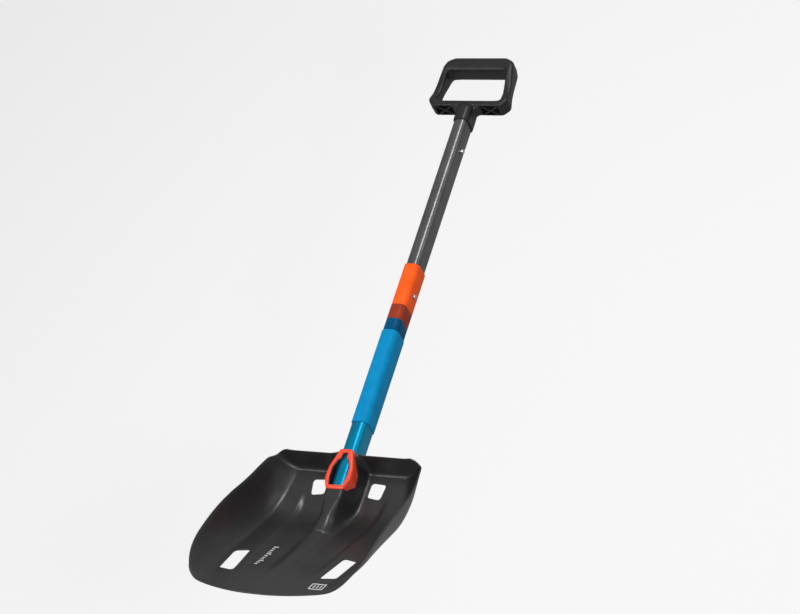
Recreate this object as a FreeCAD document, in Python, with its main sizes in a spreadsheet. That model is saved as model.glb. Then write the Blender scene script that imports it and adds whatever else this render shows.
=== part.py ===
import FreeCAD, Part
import math
import os

import Sketcher
from FreeCAD import Placement, Rotation, Vector

# Two-piece snow shovel, lying on its back. +Y runs along the shaft from the scoop to the
# handle, +X is its right side, +Z points up out of the scoop's hollow. The origin is under the
# middle of the shovel, on the plane of its lowest face. The shaft's axis is level, and most
# heights are counted from it.

DIMENSIONS = [
    # alias, millimetres, what it is
    ("axis_height", 26.0, "shaft axis above the lowest face"),
    # the scoop
    ("rear_edge", -216.0, "rear edge of the scoop along Y"),
    ("scoop_length", 287.0, "rear edge to front edge"),
    ("scoop_half_width", 130.0, "axis to rim at the widest"),
    ("sheet_thickness", 1.8, "scoop sheet"),
    ("floor_drop", 14.0, "flat floor below the axis"),
    ("floor_flat", 43.0, "length of the flat floor"),
    ("floor_bend_radius", 118.0, "bend between the flat floor and the rising blade"),
    ("floor_bend_run", 70.0, "length of that bend"),
    ("rear_wall_rise", 34.0, "height of the rear wall"),
    ("rear_wall_run", 15.0, "horizontal depth of the rear wall"),
    ("side_wall_rise", 63.0, "greatest height of a side wall"),
    ("side_wall_run", 36.0, "horizontal depth of a side wall"),
    ("rib_rise", 22.0, "top of the centre rib above the axis"),
    ("rib_top_half", 11.0, "half width of the rib's flat top"),
    ("rib_base_half", 27.5, "half width of the rib's foot at the rear"),
    ("rib_front_half", 21.0, "half width of the rib's foot at the front"),
    ("panel_depth", 3.5, "depth of the sunk panels beside the rib"),
    ("slot_corner", 4.5, "corner radius of the lashing slots"),
    # the socket under the rib
    ("socket_length", 68.0, "depth of the shaft socket"),
    ("socket_wall", 1.2, "socket wall"),
    ("socket_clearance", 0.25, "tube to socket"),
    ("socket_end", 2.0, "end wall of the socket"),
    ("boss_radius", 10.0, "thumb boss round the lock button"),
    ("lock_from_rear", 42.0, "lock button ahead of the rear edge"),
    # the bezel in the scoop's window
    ("bezel_top", 25.0, "front face of the bezel above the axis"),
    ("bezel_plate", 2.6, "thickness of the bezel's overhang"),
    ("bezel_screw_x", 16.5, "bezel screws beside the axis"),
    ("bezel_screw_radius", 1.5, "bezel screw shank"),
    # the shaft
    ("lower_end", -283.0, "lower end of the outer tube"),
    ("lower_mouth", 107.0, "open end of the outer tube"),
    ("lower_half_x", 12.1, "outer tube half width"),
    ("lower_half_z", 18.1, "outer tube half height"),
    ("lower_corner", 8.6, "outer tube corner radius"),
    ("tube_wall", 1.4, "wall of both tubes"),
    ("upper_half_x", 10.5, "inner tube half width"),
    ("upper_half_z", 16.5, "inner tube half height"),
    ("upper_corner", 7.0, "inner tube corner radius"),
    ("upper_end", 34.0, "lower end of the inner tube"),
    ("upper_head", 402.0, "upper end of the inner tube, inside the handle"),
    ("film", 0.4, "thickness of the coloured bands"),
    ("band_orange", 35.5, "foot of the orange sleeve"),
    ("band_red", 11.0, "foot of the dark red band"),
    ("band_blue", -9.5, "foot of the dark blue band"),
    ("grip_end", -165.0, "foot of the soft grip"),
    ("grip_wall", 1.4, "thickness of the soft grip"),
    # the snap buttons
    ("button_radius", 3.8, "snap button"),
    ("button_gap", 0.2, "button to its hole"),
    ("button_reach", 5.7, "how far a button stands out of the inner tube"),
    ("button_flange", 5.0, "radius of the flange inside the tube"),
    ("button_flange_thick", 1.0, "thickness of that flange"),
    ("extension_y", 61.0, "extension button along Y"),
    ("stowage_y", 329.0, "stowage button along Y"),
    ("spring_width", 8.0, "leaf spring width"),
    ("lock_spring_radius", 3.0, "coil behind the lock button"),
    # the handle
    ("collar_foot", 378.0, "lower edge of the handle's collar"),
    ("collar_wall", 2.0, "collar wall"),
    ("handle_foot", 407.5, "lower face of the handle's bottom bar"),
    ("handle_top", 503.0, "top of the grip bar"),
    ("bottom_bar", 11.0, "height of the bottom bar"),
    ("grip_bar", 25.5, "height of the grip bar"),
    ("handle_foot_half", 65.5, "half width at the bottom corners"),
    ("handle_head_half", 58.5, "half width at the top corners"),
    ("handle_side", 12.0, "width of the side bars"),
    ("grip_half_depth", 15.5, "half depth of the grip bar"),
    ("side_half_depth", 9.0, "half depth of the side bars"),
    ("foot_half_depth", 13.0, "half depth of the bottom bar"),
    ("rib_pocket_depth", 6.0, "depth of the pockets under the bottom bar"),
    ("pin_radius", 2.0, "handle cross pin"),
    ("pin_y", 394.0, "handle cross pin along Y"),
]

VALUE = {alias: value for alias, value, _ in DIMENSIONS}

doc = FreeCAD.newDocument("Shovel")
sheet = doc.addObject("Spreadsheet::Sheet", "Dims")
for row, (alias, value, meaning) in enumerate(DIMENSIONS, start=1):
    sheet.set(f"A{row}", meaning)
    sheet.set(f"B{row}", str(value))
    sheet.setAlias(f"B{row}", alias)
doc.recompute()


class Size:
    """A length in millimetres together with the sheet expression that gives it."""

    def __init__(self, value, text=None):
        self.value = float(value)
        self.text = text if text is not None else repr(float(value))

    def join(self, other, sign, value):
        return Size(value, f"({self.text} {sign} {other.text})")

    def __add__(self, other):
        other = as_size(other)
        return self.join(other, "+", self.value + other.value)

    def __sub__(self, other):
        other = as_size(other)
        return self.join(other, "-", self.value - other.value)

    def __rsub__(self, other):
        return as_size(other) - self

    def __mul__(self, factor):
        return self.join(as_size(factor), "*", self.value * factor)

    def __neg__(self):
        return self * -1.0


def as_size(value):
    return value if isinstance(value, Size) else Size(value)


def dim(alias):
    return Size(VALUE[alias], f"Dims.{alias}")


AXIS = dim("axis_height")


def bind(thing, path, size):
    """Set one property and bind it to the sheet."""
    size = as_size(size)
    if "." not in path:
        setattr(thing, path, size.value)
    thing.setExpression(path, size.text)


# ---- PartDesign helpers ------------------------------------------------------------------


def new_body(label, x=0.0, y=0.0, z=0.0):
    """An empty body whose origin stands at x, y, z."""
    body = doc.addObject("PartDesign::Body", label)
    body.Label = label
    places = [as_size(v) for v in (x, y, z)]
    body.Placement = Placement(Vector(*[p.value for p in places]), Rotation())
    for name, place in zip("xyz", places):
        body.setExpression(f"Placement.Base.{name}", place.text)
    return body


def new_sketch(body, role, offset=0.0):
    """A sketch on one of the body's origin planes, moved along the plane's normal by offset."""
    sketch = body.newObject("Sketcher::SketchObject", f"{body.Label}_sketch")
    plane = next(o for o in body.Origin.OriginFeatures if o.Role == role)
    sketch.AttachmentSupport = [(plane, "")]
    sketch.MapMode = "FlatFace"
    offset = as_size(offset)
    sketch.AttachmentOffset = Placement(Vector(0, 0, offset.value), Rotation())
    sketch.setExpression("AttachmentOffset.Base.z", offset.text)
    return sketch


def fix_point(sketch, geometry, end, across, along):
    """Hold a sketch point at a place bound to the sheet."""
    for kind, size in (("DistanceX", as_size(across)), ("DistanceY", as_size(along))):
        ends = (-1, 1, geometry, end) if size.value >= 0 else (geometry, end, -1, 1)
        number = sketch.addConstraint(Sketcher.Constraint(kind, *ends, abs(size.value)))
        text = size.text if size.value >= 0 else f"-1 * {size.text}"
        sketch.setExpression(f"Constraints[{number}]", text)


def draw_polygon(sketch, corners):
    """A closed outline with a bound place for every corner."""
    corners = [(as_size(a), as_size(b)) for a, b in corners]
    points = [Vector(a.value, b.value, 0) for a, b in corners]
    lines = []
    for start, end in zip(points, points[1:] + points[:1]):
        lines.append(sketch.addGeometry(Part.LineSegment(start, end), False))
    for line, following in zip(lines, lines[1:] + lines[:1]):
        sketch.addConstraint(Sketcher.Constraint("Coincident", line, 2, following, 1))
    for line, (across, along) in zip(lines, corners):
        fix_point(sketch, line, 1, across, along)


def draw_rounded_rectangle(sketch, half_width, half_height, corner):
    """A rectangle with round corners, centred on the sketch's origin."""
    w, h, r = half_width.value, half_height.value, corner.value
    across, up = w - r, h - r
    sides = [
        (Vector(-across, -h, 0), Vector(across, -h, 0)),
        (Vector(w, -up, 0), Vector(w, up, 0)),
        (Vector(across, h, 0), Vector(-across, h, 0)),
        (Vector(-w, up, 0), Vector(-w, -up, 0)),
    ]
    centres = [(across, -up), (across, up), (-across, up), (-across, -up)]
    first = sketch.GeometryCount
    for turn, ((start, end), (cx, cz)) in enumerate(zip(sides, centres)):
        sketch.addGeometry(Part.LineSegment(start, end), False)
        circle = Part.Circle(Vector(cx, cz, 0), Vector(0, 0, 1), r)
        begin = (turn - 1) * math.pi / 2
        sketch.addGeometry(Part.ArcOfCircle(circle, begin, begin + math.pi / 2), False)
    for step in range(8):
        here, following = first + step, first + (step + 1) % 8
        sketch.addConstraint(Sketcher.Constraint("Tangent", here, 2, following, 1))
    for step, kind in ((0, "Horizontal"), (2, "Vertical"), (4, "Horizontal"), (6, "Vertical")):
        sketch.addConstraint(Sketcher.Constraint(kind, first + step))
    for step in (3, 5, 7):
        sketch.addConstraint(Sketcher.Constraint("Equal", first + 1, first + step))
    bound = [
        (Sketcher.Constraint("Radius", first + 1, r), corner),
        (Sketcher.Constraint("DistanceX", -1, 1, first + 2, 1, w), half_width),
        (Sketcher.Constraint("DistanceX", first + 6, 1, -1, 1, w), half_width),
        (Sketcher.Constraint("DistanceY", -1, 1, first + 4, 1, h), half_height),
        (Sketcher.Constraint("DistanceY", first, 1, -1, 1, h), half_height),
    ]
    for constraint, size in bound:
        number = sketch.addConstraint(constraint)
        sketch.setExpression(f"Constraints[{number}]", size.text)


def draw_circle(sketch, across, along, radius):
    radius = as_size(radius)
    centre = Vector(as_size(across).value, as_size(along).value, 0)
    circle = sketch.addGeometry(Part.Circle(centre, Vector(0, 0, 1), radius.value), False)
    fix_point(sketch, circle, 3, across, along)
    number = sketch.addConstraint(Sketcher.Constraint("Radius", circle, radius.value))
    sketch.setExpression(f"Constraints[{number}]", radius.text)


def extrude(body, kind, sketch, length, reverse=False, middle=False):
    """Pad or pocket a sketch by a bound length."""
    feature = body.newObject(f"PartDesign::{kind}", f"{body.Label}_{kind.lower()}")
    feature.Profile = sketch
    bind(feature, "Length", length)
    feature.Reversed = reverse
    feature.Midplane = middle
    sketch.Visibility = False
    body.Tip = feature
    return feature


def round_edges(body, radius, chosen):
    """Fillet the edges of the tip that the function chosen picks."""
    doc.recompute()
    shape = body.Tip.Shape
    names = [f"Edge{n}" for n, edge in enumerate(shape.Edges, start=1) if chosen(edge)]
    base = body.Tip
    fillet = body.newObject("PartDesign::Fillet", f"{body.Label}_fillet")
    fillet.Base = (base, names)
    bind(fillet, "Radius", radius)
    body.Tip = fillet
    return fillet


def tube_body(label, foot, length, outer, inner):
    """A rounded-rectangle sleeve along the shaft, from y = foot. The sizes are (x, z, corner)."""
    body = new_body(label, 0.0, foot, AXIS)
    sketch = new_sketch(body, "XZ_Plane")
    draw_rounded_rectangle(sketch, *outer)
    if inner:
        draw_rounded_rectangle(sketch, *inner)
    extrude(body, "Pad", sketch, length, reverse=True)
    return body


def grown(section, by):
    """A tube section with every surface moved outwards by a distance."""
    return tuple(size + by for size in section)


def side_hole(body, y, radius, reach):
    """Cut a round hole through the wall on the +X side, y counted from the body's foot."""
    sketch = new_sketch(body, "YZ_Plane")
    draw_circle(sketch, y, 0.0, radius)
    extrude(body, "Pocket", sketch, reach, reverse=True)


LOWER = (dim("lower_half_x"), dim("lower_half_z"), dim("lower_corner"))
UPPER = (dim("upper_half_x"), dim("upper_half_z"), dim("upper_corner"))
WALL = dim("tube_wall")
BUTTON_HOLE = dim("button_radius") + dim("button_gap")
LOCK_Y = dim("rear_edge") - dim("lock_from_rear")
THROUGH = 60.0


# ---- the scoop ---------------------------------------------------------------------------


def eased(x, ease=0.16):
    """0 below 0, 1 above 1, a straight ramp between with rounded ends."""
    x = min(max(x, 0.0), 1.0)
    slope = 1.0 / (1.0 - ease)
    if x < ease:
        return slope * x * x / (2 * ease)
    if x > 1 - ease:
        return 1 - slope * (1 - x) ** 2 / (2 * ease)
    return slope * (x - ease / 2)


def floor_line(ahead):
    """Height of the scoop's floor over the axis, at a distance ahead of the rear edge."""
    radius = VALUE["floor_bend_radius"]
    run = VALUE["floor_bend_run"]
    past = ahead - VALUE["floor_flat"]
    if past <= 0:
        return -VALUE["floor_drop"]
    bend = min(past, run)
    rise = radius - math.sqrt(radius**2 - bend**2)
    slope = run / math.sqrt(radius**2 - run**2)
    return -VALUE["floor_drop"] + rise + slope * max(past - run, 0)


RIM_WIDEST = (125.0, 190.0)  # stretch of the rim that is at full width, ahead of the rear edge
CORNER_POWER = 2.6  # how tightly the side and rear walls meet: 2 is an ellipse, more is squarer


def rim_line(ahead):
    """Half width of the rim."""
    half = VALUE["scoop_half_width"]
    start, end = RIM_WIDEST
    if ahead < start:
        return half - 16.5 * ((start - ahead) / start) ** 2
    if ahead > end:
        return half - 12.0 * ((ahead - end) / 54.0) ** 2
    return half


def side_wall_height(ahead):
    """Height of the side wall over the floor: low at the rear, highest behind the middle, none in front."""
    full = VALUE["side_wall_rise"]
    peak = 100.0
    if ahead < peak:
        return full - 36.0 * ((peak - ahead) / peak) ** 1.3
    return full * max(1 - ((ahead - peak) / 175.0) ** 1.7, 0.0)


def wall_height(x, ahead):
    """Height of the walls over the floor, with a rounded corner between side and rear."""
    side = max(1 - (rim_line(ahead) - abs(x)) / VALUE["side_wall_run"], 0.0)
    rear = max(1 - ahead / VALUE["rear_wall_run"], 0.0)
    reach = (side**CORNER_POWER + rear**CORNER_POWER) ** (1 / CORNER_POWER)
    if reach == 0:
        return 0.0
    share = (rear / reach) ** CORNER_POWER
    top = share * VALUE["rear_wall_rise"] + (1 - share) * side_wall_height(ahead)
    return top * reach ** (1.75 - 0.15 * share)


def rib_profile(ahead):
    """Height of the rib's crest: level, then a low ridge that runs out on the blade."""
    ridge = 3.5 * eased((262 - ahead) / 70, 0.4) * eased((ahead - 75) / 50, 0.4)
    level = VALUE["rib_rise"] - floor_line(ahead)
    softness = 14.0 * eased((ahead - 75) / 60, 0.4)
    return math.hypot((level + math.hypot(level, softness)) / 2, ridge)


def rib_section(x, ahead):
    """1 on the rib's crest, 0 outside its foot: flat over the socket, rounder ahead of it."""
    forward = min(max((ahead - 50) / 165, 0.0), 1.0)
    foot = VALUE["rib_base_half"] + forward * (VALUE["rib_front_half"] - VALUE["rib_base_half"])
    past_socket = min(max((ahead - 72) / 30, 0.0), 1.0)
    crest = VALUE["rib_top_half"] - 8.0 * past_socket
    return eased((foot - abs(x)) / (foot - crest), 0.16 + 0.3 * past_socket)


def panel_sink(x, ahead):
    """How far the panels beside the rib are sunk below the outer floor."""
    edge = 66.5 - 11.5 * (ahead - 62) / 157
    step = 10.0 - 4.0 * min(max((ahead - 62) / 157, 0), 1)
    ends = eased((ahead - 40) / 45, 0.4) * eased((240 - ahead) / 50, 0.4)
    return VALUE["panel_depth"] * eased((edge + 1.5 - abs(x)) / step, 0.4) * ends


def scoop_height(x, ahead):
    """Upper surface of the scoop over the shaft axis."""
    floor = floor_line(ahead) - panel_sink(x, ahead)
    crest = rib_section(x, ahead)
    rib = rib_profile(ahead) + panel_sink(x, ahead) * (1 if ahead < 130 else 0.4)
    return floor + crest * rib + (1 - crest) * wall_height(x, ahead)


def scoop_underside(x, ahead):
    """Lower surface: the sheet's thickness is measured square to the sheet."""
    step = 0.5
    dx = (scoop_height(x + step, ahead) - scoop_height(x - step, ahead)) / (2 * step)
    dy = (scoop_height(x, ahead + step) - scoop_height(x, ahead - step)) / (2 * step)
    steep = min(math.sqrt(1 + dx * dx + dy * dy), 4.0)
    return scoop_height(x, ahead) - VALUE["sheet_thickness"] * steep


def stations(first, last, count):
    return [first + (last - first) * n / (count - 1) for n in range(count)]


def spline_face(height, across, along):
    """A smooth face through a grid of heights, in the row's frame."""
    rear, axis = VALUE["rear_edge"], VALUE["axis_height"]
    grid = [[Vector(x, rear - a, axis + height(x, a)) for a in along] for x in across]
    surface = Part.BSplineSurface()
    surface.interpolate(grid)
    return surface


def block_between(lower, upper):
    """The solid between two spline surfaces over the same rectangle."""
    faces = [lower.toShape(), upper.toShape()]
    u0, u1, v0, v1 = lower.bounds()
    for pick in (
        lambda s: s.uIso(u0),
        lambda s: s.uIso(u1),
        lambda s: s.vIso(v0),
        lambda s: s.vIso(v1),
    ):
        faces.append(Part.makeRuledSurface(pick(lower).toShape(), pick(upper).toShape()))
    return Part.makeSolid(Part.makeShell(Part.makeCompound(faces).Faces))


def rounded_polygon(corners, radius):
    """A flat closed wire with an arc at every corner."""
    points = [Vector(x, y, 0) for x, y in corners]
    edges, ends = [], []
    for before, here, after in zip(points[-1:] + points[:-1], points, points[1:] + points[:1]):
        back = (before - here).normalize()
        on = (after - here).normalize()
        half = back.getAngle(on) / 2
        reach = radius / math.tan(half)
        middle = (back + on).normalize() * (radius / math.sin(half) - radius)
        start, end = here + back * reach, here + on * reach
        edges.append(Part.Arc(start, here + middle, end).toShape())
        ends.append((start, end))
    for (_, end), (start, _) in zip(ends, ends[1:] + ends[:1]):
        edges.append(Part.LineSegment(end, start).toShape())
    return Part.Wire(Part.__sortEdges__(edges))


def mirrored(corners):
    """The same corners on the -X side, in the same turning direction."""
    return [(-x, y) for x, y in reversed(corners)]


def ahead_to_row(corners):
    return [(x, VALUE["rear_edge"] - ahead) for x, ahead in corners]


def prism(wire, low=-60.0, high=260.0):
    """The wire's face, drawn out along Z far past the sheet."""
    wire = wire.copy()
    wire.translate(Vector(0, 0, low))
    return Part.Face(wire).extrude(Vector(0, 0, high - low))


def planform():
    """The scoop's outline from above: straight rear edge, bowed sides, bulging front edge."""
    rear, half = VALUE["rear_edge"], VALUE["scoop_half_width"]
    length = VALUE["scoop_length"]
    right = [
        # kind, through point, end point, as (x, ahead)
        ("arc", (109.6, 7.0), (rim_line(22), 22.0)),
        ("arc", (rim_line(72), 72.0), (half, RIM_WIDEST[0])),
        ("line", None, (half, RIM_WIDEST[1])),
        ("arc", (rim_line(222), 222.0), (rim_line(246), 246.0)),
        ("arc", (106.5, 262.5), (88.0, 272.5)),
    ]

    def place(point, side):
        return Vector(side * point[0], rear - point[1], 0)

    rear_corner = (93.0, 1.0)
    edges = [Part.LineSegment(place(rear_corner, -1), place(rear_corner, 1)).toShape()]
    for side in (-1, 1):
        here = rear_corner
        for kind, through, end in right:
            ends = place(here, side), place(end, side)
            if kind == "line":
                edges.append(Part.LineSegment(*ends).toShape())
            else:
                edges.append(Part.Arc(ends[0], place(through, side), ends[1]).toShape())
            here = end
    front = Part.Arc(place(here, -1), place((0.0, length), 1), place(here, 1))
    edges.append(front.toShape())
    return Part.Wire(Part.__sortEdges__(edges))


UPPER_SLOT = [(34.0, 26.5), (56.5, 28.0), (52.9, 53.0), (32.9, 50.0)]
LOWER_SLOT = [(69.8, 185.0), (91.0, 190.0), (86.6, 234.0), (63.2, 238.0)]


def bezel_outline(grow=0.0):
    """Corners of the bezel on the right side, as (x, ahead)."""
    return [
        (10.0 + grow, -3.0),
        (18.8 + grow, 27.0),
        (19.5 + grow, 45.0),
        (13.5 + grow, 61.0 + grow),
    ]


BEZEL_SKIRT = (-1.5, 58.5)  # the bezel's skirt goes through the scoop between these, ahead


def window_prism():
    """The hole that the bezel's skirt passes through, open at the scoop's rear edge."""
    grow = 0.2
    right = bezel_outline(grow)
    outline = ahead_to_row(right + mirrored(right))
    whole = prism(Part.makePolygon([Vector(x, y, 0) for x, y in outline + outline[:1]]))
    front = VALUE["rear_edge"] - BEZEL_SKIRT[1] - grow
    keep = Part.makeBox(200, 200, 400, Vector(-100, front, -80))
    return whole.common(keep)


def build_scoop():
    across = stations(-131.5, 131.5, 106)
    along = stations(-2.0, 22.0, 13) + stations(25.0, 289.0, 78)
    top = spline_face(scoop_height, across, along)
    bottom = spline_face(scoop_underside, across, along)
    sheet_block = block_between(bottom, top)
    shape = sheet_block.common(prism(planform()))
    for slot in (UPPER_SLOT, LOWER_SLOT):
        for corners in (slot, mirrored(slot)):
            radius = VALUE["slot_corner"]
            shape = shape.cut(prism(rounded_polygon(ahead_to_row(corners), radius)))
    shape = shape.cut(window_prism())
    solid = max(shape.Solids, key=lambda s: s.Volume)
    feature = doc.addObject("Part::Feature", "blade")
    feature.Label = "blade"
    feature.Shape = solid
    feature.Placement = Placement()
    return feature


# ---- the socket and its bezel ------------------------------------------------------------


def build_socket():
    """Sleeve under the rib, closed in front, with screw ears and a thumb boss behind."""
    clear, wall = dim("socket_clearance"), dim("socket_wall")
    inner = grown(LOWER, clear)
    outer = grown(inner, wall)
    foot = dim("rear_edge") - 1.0
    body = new_body("shaft_socket", 0.0, foot, AXIS)
    length = dim("socket_length")
    sketch = new_sketch(body, "XZ_Plane")
    draw_rounded_rectangle(sketch, *outer)
    extrude(body, "Pad", sketch, length + dim("socket_end"))
    # screw ears beside the sleeve, under the bezel's skirt
    screw_y = -(dim("lock_from_rear") - 1.0)
    for side in (-1.0, 1.0):
        sketch = new_sketch(body, "XY_Plane", -3.2)
        inside, outside = Size(12.0) * side, Size(19.2) * side
        draw_polygon(
            sketch,
            [
                (inside, screw_y - 6.0),
                (outside, screw_y - 6.0),
                (outside, screw_y + 6.0),
                (inside, screw_y + 6.0),
            ],
        )
        extrude(body, "Pad", sketch, 3.0)
    # thumb boss
    lowest = -AXIS
    sketch = new_sketch(body, "XY_Plane", lowest)
    draw_circle(sketch, 0.0, screw_y, dim("boss_radius"))
    extrude(body, "Pad", sketch, AXIS - dim("lower_half_z") - clear - 0.3)
    # room for the tube
    sketch = new_sketch(body, "XZ_Plane")
    draw_rounded_rectangle(sketch, *inner)
    extrude(body, "Pocket", sketch, length, reverse=True)
    # window under the bezel's opening
    sketch = new_sketch(body, "XY_Plane")
    right = [(12.5, -27.0), (12.5, -41.0), (9.7, -55.0)]
    draw_polygon(sketch, [(3.5, -2.0)] + right + mirrored(right) + [(-3.5, -2.0)])
    extrude(body, "Pocket", sketch, THROUGH, reverse=True)
    # thumb recess, button hole and screw holes
    sketch = new_sketch(body, "XY_Plane", lowest)
    draw_circle(sketch, 0.0, screw_y, dim("boss_radius") - 3.4)
    extrude(body, "Pocket", sketch, 5.0, reverse=True)
    sketch = new_sketch(body, "XY_Plane", lowest)
    draw_circle(sketch, 0.0, screw_y, BUTTON_HOLE)
    extrude(body, "Pocket", sketch, AXIS - 15.0, reverse=True)
    sketch = new_sketch(body, "XY_Plane", -3.2)
    for side in (-1.0, 1.0):
        draw_circle(sketch, dim("bezel_screw_x") * side, screw_y, dim("bezel_screw_radius") + 0.1)
    extrude(body, "Pocket", sketch, 3.0, reverse=True)
    return body


def build_bezel():
    """Ring round the window: a plate over the rib and a skirt down to the socket's ears."""
    body = new_body("window_bezel", 0.0, dim("rear_edge"), AXIS)
    top = dim("bezel_top")
    right = [(x, -ahead) for x, ahead in bezel_outline()]
    sketch = new_sketch(body, "XY_Plane")
    draw_polygon(sketch, right + mirrored(right))
    extrude(body, "Pad", sketch, top)
    # the plate overhangs the scoop's rear edge and the rib ahead of the window
    under = top - dim("bezel_plate")
    for near, far in ((BEZEL_SKIRT[1], 70.0), (-10.0, BEZEL_SKIRT[0])):
        sketch = new_sketch(body, "XY_Plane")
        draw_polygon(sketch, [(-30.0, -far), (30.0, -far), (30.0, -near), (-30.0, -near)])
        extrude(body, "Pocket", sketch, under, reverse=True)
    # room for the socket's sleeve
    sleeve = grown(LOWER, dim("socket_clearance") + dim("socket_wall") + 0.15)
    sketch = new_sketch(body, "XZ_Plane", -10.0)
    draw_rounded_rectangle(sketch, *sleeve)
    extrude(body, "Pocket", sketch, 90.0, reverse=True)
    # the opening
    sketch = new_sketch(body, "XY_Plane")
    side = [(12.5, -28.0), (12.5, -42.0), (9.7, -56.0)]
    draw_polygon(sketch, [(3.5, -3.0)] + side + mirrored(side) + [(-3.5, -3.0)])
    extrude(body, "Pocket", sketch, THROUGH, reverse=True)
    # screw holes in the skirt
    sketch = new_sketch(body, "XY_Plane")
    for turn in (-1.0, 1.0):
        place = dim("bezel_screw_x") * turn
        draw_circle(sketch, place, -dim("lock_from_rear"), dim("bezel_screw_radius") + 0.05)
    extrude(body, "Pocket", sketch, 9.0, reverse=True)

    def outer_rim(edge):
        box = edge.BoundBox
        return box.ZMin > top.value - 0.01 and max(abs(box.XMin), abs(box.XMax)) > 12.9

    chamfer_edges(body, 1.6, outer_rim)
    return body


def chamfer_edges(body, size, chosen):
    """Chamfer the edges of the tip that the function chosen picks."""
    doc.recompute()
    base = body.Tip
    shape = base.Shape
    names = [f"Edge{n}" for n, edge in enumerate(shape.Edges, start=1) if chosen(edge)]
    chamfer = body.newObject("PartDesign::Chamfer", f"{body.Label}_chamfer")
    chamfer.Base = (base, names)
    bind(chamfer, "Size", size)
    body.Tip = chamfer
    return chamfer


def build_bezel_screw(label, side):
    """Pan-head screw from behind through a socket ear into the bezel's skirt."""
    radius = dim("bezel_screw_radius")
    body = new_body(label, dim("bezel_screw_x") * side, LOCK_Y, AXIS - 3.25)
    sketch = new_sketch(body, "XY_Plane")
    draw_circle(sketch, 0.0, 0.0, radius)
    extrude(body, "Pad", sketch, 11.0)
    sketch = new_sketch(body, "XY_Plane")
    draw_circle(sketch, 0.0, 0.0, radius * 1.8)
    extrude(body, "Pad", sketch, 1.8, reverse=True)
    return body


# ---- the shaft ---------------------------------------------------------------------------


def build_lower_tube():
    foot = dim("lower_end")
    length = dim("lower_mouth") - foot
    body = tube_body("lower_tube", foot, length, LOWER, grown(LOWER, -WALL))
    side_hole(body, dim("extension_y") - foot, BUTTON_HOLE, THROUGH)
    sketch = new_sketch(body, "XY_Plane")
    draw_circle(sketch, 0.0, LOCK_Y - foot, BUTTON_HOLE)
    extrude(body, "Pocket", sketch, THROUGH)
    return body


def build_sleeve(label, foot, head, thickness, hole=None):
    """A coloured band or grip round the outer tube."""
    body = tube_body(label, foot, head - foot, grown(LOWER, thickness), grown(LOWER, 0.02))
    if hole:
        side_hole(body, hole - foot, BUTTON_HOLE + 0.4, THROUGH)
    return body


def build_upper_tube():
    foot = dim("upper_end")
    length = dim("upper_head") - foot
    body = tube_body("upper_tube", foot, length, UPPER, grown(UPPER, -WALL))
    for place in (dim("extension_y"), dim("stowage_y")):
        side_hole(body, place - foot, BUTTON_HOLE, THROUGH)
    sketch = new_sketch(body, "YZ_Plane")
    draw_circle(sketch, dim("pin_y") - foot, 0.0, dim("pin_radius") + 0.05)
    extrude(body, "Pocket", sketch, THROUGH, middle=True)
    return body


def build_end_plug():
    """Plug in the inner tube's lower end, with a lip as wide as the tube."""
    lip = 3.0
    foot = dim("upper_end") - lip
    body = new_body("tube_end_plug", 0.0, foot, AXIS)
    for section, length in (
        (grown(UPPER, -0.1), Size(lip)),
        (grown(UPPER, -WALL - 0.05), Size(lip + 9.0)),
    ):
        sketch = new_sketch(body, "XZ_Plane")
        draw_rounded_rectangle(sketch, *section)
        extrude(body, "Pad", sketch, length, reverse=True)
    return body


def build_side_button(label, y):
    """Snap button on the +X side: a domed head on a flange inside the inner tube."""
    inside = dim("upper_half_x") - WALL - 0.1
    thick = dim("button_flange_thick")
    body = new_body(label, inside - thick, y, AXIS)
    sketch = new_sketch(body, "YZ_Plane")
    draw_circle(sketch, 0.0, 0.0, dim("button_flange"))
    extrude(body, "Pad", sketch, thick)
    sketch = new_sketch(body, "YZ_Plane")
    draw_circle(sketch, 0.0, 0.0, dim("button_radius"))
    reach = dim("upper_half_x") + dim("button_reach") - inside + thick
    extrude(body, "Pad", sketch, reach)
    round_edges(body, 1.8, lambda edge: edge.BoundBox.XMin > reach.value - 0.01)
    return body


FLANGE_GAP = 0.35  # lock button's flange to the tube's wall, which curves away beside it


def build_lock_button():
    """Snap button on the underside of the outer tube, inside the socket's thumb boss."""
    inside = dim("lower_half_z") - WALL - FLANGE_GAP
    thick = dim("button_flange_thick")
    body = new_body("blade_lock_button", 0.0, LOCK_Y, AXIS - inside + thick)
    sketch = new_sketch(body, "XY_Plane")
    draw_circle(sketch, 0.0, 0.0, dim("button_flange"))
    extrude(body, "Pad", sketch, thick, reverse=True)
    sketch = new_sketch(body, "XY_Plane")
    draw_circle(sketch, 0.0, 0.0, dim("button_radius"))
    reach = dim("lower_half_z") + dim("button_reach") - inside + thick
    extrude(body, "Pad", sketch, reach, reverse=True)
    round_edges(body, 1.8, lambda edge: edge.BoundBox.ZMax < 0.01 - reach.value)
    return body


def build_leaf_spring(label, y, way):
    """V-shaped leaf in the inner tube, open behind a button's flange, its bend on the +Y or -Y side."""
    body = new_body(label, 0.0, y, AXIS)
    wall = dim("upper_half_x") - WALL
    leaf = 0.8
    flange_back = wall - 0.15 - dim("button_flange_thick")
    corners = [
        (flange_back, 7.0),
        (flange_back, -6.0),
        (0.7, -44.0),
        (-0.7, -44.0),
        (-wall + 0.1, -12.0),
        (-wall + 0.1, 7.0),
        (-wall + 0.1 + leaf, 7.0),
        (-wall + 0.1 + leaf, -12.0),
        (0.0, -41.5),
        (flange_back - leaf, -6.0),
        (flange_back - leaf, 7.0),
    ]
    sketch = new_sketch(body, "XY_Plane")
    draw_polygon(sketch, [(x, -along * way) for x, along in corners])
    extrude(body, "Pad", sketch, dim("spring_width"), middle=True)
    return body


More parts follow.
